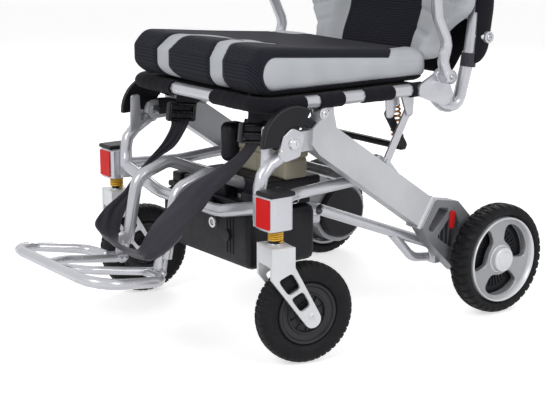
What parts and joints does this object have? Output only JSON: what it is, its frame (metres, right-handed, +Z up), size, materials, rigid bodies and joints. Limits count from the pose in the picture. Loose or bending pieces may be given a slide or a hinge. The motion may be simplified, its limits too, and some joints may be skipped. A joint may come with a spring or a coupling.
{
  "type": "folding power wheelchair",
  "caption": "Folding power wheelchair: silver tube frame that folds front to back, sprung casters, hub motors, ribbed cushion, flip-up footrest and armrests, joystick on the right arm.",
  "frame": {"origin": "floor point under the middle of the bounding box, casters on the floor at Z = 0", "axes": "+Y to the rear, +X to the user's left, +Z up; the chair faces -Y"},
  "size_m": [0.6424, 1.0254, 0.9297],
  "materials": {
    "silver_paint": "satin silver",
    "matt_silver": "matt silver",
    "brushed_aluminium": "brushed",
    "cast_aluminium": "as cast",
    "bright_steel": "bright",
    "black_plastic": "satin",
    "beige_plastic": "satin",
    "red_plastic": "gloss",
    "tyre_rubber": "matt",
    "charcoal_rim": "satin",
    "yellow_spring": "gloss",
    "copper_spring": "gloss",
    "black_fabric": "woven",
    "arm_pad_foam": "moulded",
    "grip_rubber": "matt"
  },
  "bodies": {
    "root": {"front_frame": "silver_paint", "housing_cap_left": "black_plastic", "housing_cap_right": "black_plastic", "reflector_left": "red_plastic", "reflector_right": "red_plastic", "battery_pack": "black_plastic", "controller_box": "beige_plastic", "calf_strap": "black_fabric", "pivot_bolt_left": "bright_steel", "pivot_bolt_right": "bright_steel", "caster_spring_left": "yellow_spring", "caster_spring_right": "yellow_spring"},
    "footrest": {"footrest": "silver_paint"},
    "rear_frame": {"beam_left": "matt_silver", "beam_right": "matt_silver", "pivot_cover_left": "black_plastic", "pivot_cover_right": "black_plastic", "rear_bracket_left": "cast_aluminium", "rear_bracket_right": "cast_aluminium", "hub_motor_left": "black_plastic", "hub_motor_right": "black_plastic", "rear_stays": "silver_paint"},
    "seat": {"seat_frame": "silver_paint", "seat_sling": "black_fabric", "seat_cushion": "black_fabric", "back_posts": "silver_paint", "back_pad_lower": "black_fabric", "shock_spring_left": "copper_spring", "shock_spring_right": "copper_spring"},
    "back_upper": {"back_uprights": "silver_paint", "back_pad_upper": "black_fabric", "push_grip_left": "grip_rubber", "push_grip_right": "grip_rubber"},
    "yoke": {"shock_yoke": "silver_paint"},
    "brace_upper": {"brace_upper_left": "silver_paint", "brace_upper_right": "silver_paint"},
    "brace_lower": {"brace_lower_left": "silver_paint", "brace_lower_right": "silver_paint"},
    "joystick_tilt": {"joystick_boot": "grip_rubber"},
    "joystick_stick": {"joystick_stick": "black_plastic"},
    "power_button": {"power_button": "red_plastic"},
    "armrest_left": {"armrest_tube_left": "silver_paint", "arm_pad_left": "arm_pad_foam"},
    "armrest_right": {"armrest_tube_right": "silver_paint", "arm_pad_right": "arm_pad_foam", "joystick_box": "black_plastic"},
    "caster_stem_left": {"caster_stem_left": "bright_steel"},
    "caster_fork_left": {"caster_fork_left": "silver_paint"},
    "caster_wheel_left": {"caster_tyre_left": "tyre_rubber", "caster_rim_left": "charcoal_rim"},
    "rear_wheel_left": {"rear_tyre_left": "tyre_rubber", "rear_rim_left": "brushed_aluminium"},
    "clutch_left": {"clutch_lever_left": "red_plastic"},
    "caster_stem_right": {"caster_stem_right": "bright_steel"},
    "caster_fork_right": {"caster_fork_right": "silver_paint"},
    "caster_wheel_right": {"caster_tyre_right": "tyre_rubber", "caster_rim_right": "charcoal_rim"},
    "rear_wheel_right": {"rear_tyre_right": "tyre_rubber", "rear_rim_right": "brushed_aluminium"},
    "clutch_right": {"clutch_lever_right": "red_plastic"}
  },
  "joints": [
    {"name": "frame_fold", "type": "hinge", "parent": "root", "child": "rear_frame", "pos_m": [0, -0.133, 0.398], "axis": [-1, 0, 0], "range_deg": [0, 30]},
    {"name": "seat_fold", "type": "hinge", "parent": "rear_frame", "child": "seat", "pos_m": [0, -0.053, 0.443], "axis": [-1, 0, 0], "range_deg": [0, 15.4]},
    {"name": "brace_lower_fold", "type": "hinge", "parent": "rear_frame", "child": "brace_lower", "pos_m": [0, 0.203, 0.238], "axis": [1, 0, 0], "range_deg": [0, 26.86]},
    {"name": "brace_upper_fold", "type": "hinge", "parent": "seat", "child": "brace_upper", "pos_m": [0, 0.175, 0.421], "axis": [1, 0, 0], "range_deg": [0, 1.75]},
    {"name": "backrest_fold", "type": "hinge", "parent": "seat", "child": "back_upper", "pos_m": [0, 0.3435, 0.672], "axis": [1, 0, 0], "range_deg": [0, 90]},
    {"name": "footrest_flip", "type": "hinge", "parent": "root", "child": "footrest", "pos_m": [0, -0.313, 0.146], "axis": [-1, 0, 0], "range_deg": [0, 60], "deforming": ["calf_strap"]},
    {"name": "yoke_swing", "type": "hinge", "parent": "seat", "child": "yoke", "pos_m": [0, 0.139, 0.419], "axis": [1, 0, 0], "range_deg": [0, 6], "stiffness_Nm_per_rad": 30, "springref_deg": -6.88, "deforming": ["shock_spring_left", "shock_spring_right"]},
    {"name": "armrest_flip_left", "type": "hinge", "parent": "seat", "child": "armrest_left", "pos_m": [0.2625, 0.229, 0.492], "axis": [-1, 0, 0], "range_deg": [0, 100]},
    {"name": "armrest_flip_right", "type": "hinge", "parent": "seat", "child": "armrest_right", "pos_m": [-0.2625, 0.229, 0.492], "axis": [-1, 0, 0], "range_deg": [0, 100]},
    {"name": "caster_suspension_left", "type": "slide", "parent": "root", "child": "caster_stem_left", "axis": [0, 0, 1], "range_m": [0, 0.012], "stiffness_N_per_m": 12000, "springref_m": -0.025, "deforming": ["caster_spring_left"]},
    {"name": "caster_swivel_left", "type": "hinge", "parent": "caster_stem_left", "child": "caster_fork_left", "pos_m": [0.28, -0.1985, 0.2], "axis": [0, 0, 1], "continuous": true},
    {"name": "caster_roll_left", "type": "hinge", "parent": "caster_fork_left", "child": "caster_wheel_left", "pos_m": [0.29088, -0.14255, 0.095], "axis": [0.9816, -0.1908, 0], "continuous": true},
    {"name": "rear_wheel_roll_left", "type": "hinge", "parent": "rear_frame", "child": "rear_wheel_left", "pos_m": [0.284, 0.359, 0.1125], "axis": [1, 0, 0], "continuous": true},
    {"name": "clutch_release_left", "type": "hinge", "parent": "rear_frame", "child": "clutch_left", "pos_m": [0.2533, 0.2585, 0.187], "axis": [1, 0, 0], "range_deg": [0, 50]},
    {"name": "caster_suspension_right", "type": "slide", "parent": "root", "child": "caster_stem_right", "axis": [0, 0, 1], "range_m": [0, 0.012], "stiffness_N_per_m": 12000, "springref_m": -0.025, "deforming": ["caster_spring_right"]},
    {"name": "caster_swivel_right", "type": "hinge", "parent": "caster_stem_right", "child": "caster_fork_right", "pos_m": [-0.28, -0.1985, 0.2], "axis": [0, 0, 1], "continuous": true},
    {"name": "caster_roll_right", "type": "hinge", "parent": "caster_fork_right", "child": "caster_wheel_right", "pos_m": [-0.26912, -0.14255, 0.095], "axis": [0.9816, -0.1908, 0], "continuous": true},
    {"name": "rear_wheel_roll_right", "type": "hinge", "parent": "rear_frame", "child": "rear_wheel_right", "pos_m": [-0.284, 0.359, 0.1125], "axis": [1, 0, 0], "continuous": true},
    {"name": "clutch_release_right", "type": "hinge", "parent": "rear_frame", "child": "clutch_right", "pos_m": [-0.2533, 0.2585, 0.187], "axis": [1, 0, 0], "range_deg": [0, 50]},
    {"name": "joystick_fore_aft", "type": "hinge", "parent": "armrest_right", "child": "joystick_tilt", "pos_m": [-0.2715, -0.138, 0.7766], "axis": [1, 0, 0], "range_deg": [-15, 15], "stiffness_Nm_per_rad": 0.06},
    {"name": "joystick_sideways", "type": "hinge", "parent": "joystick_tilt", "child": "joystick_stick", "pos_m": [-0.2715, -0.138, 0.7766], "axis": [0, 1, 0], "range_deg": [-15, 15], "stiffness_Nm_per_rad": 0.06},
    {"name": "power_button_press", "type": "slide", "parent": "armrest_right", "child": "power_button", "axis": [0, 0, -1], "range_m": [0, 0.0015], "stiffness_N_per_m": 400, "springref_m": -0.0008}
  ],
  "couplings": [
    {"joint": "seat_fold", "follows": "frame_fold", "ratio": 0.5},
    {"joint": "brace_lower_fold", "follows": "frame_fold", "ratio": 0.882},
    {"joint": "brace_upper_fold", "follows": "frame_fold", "ratio": 0.045}
  ]
}
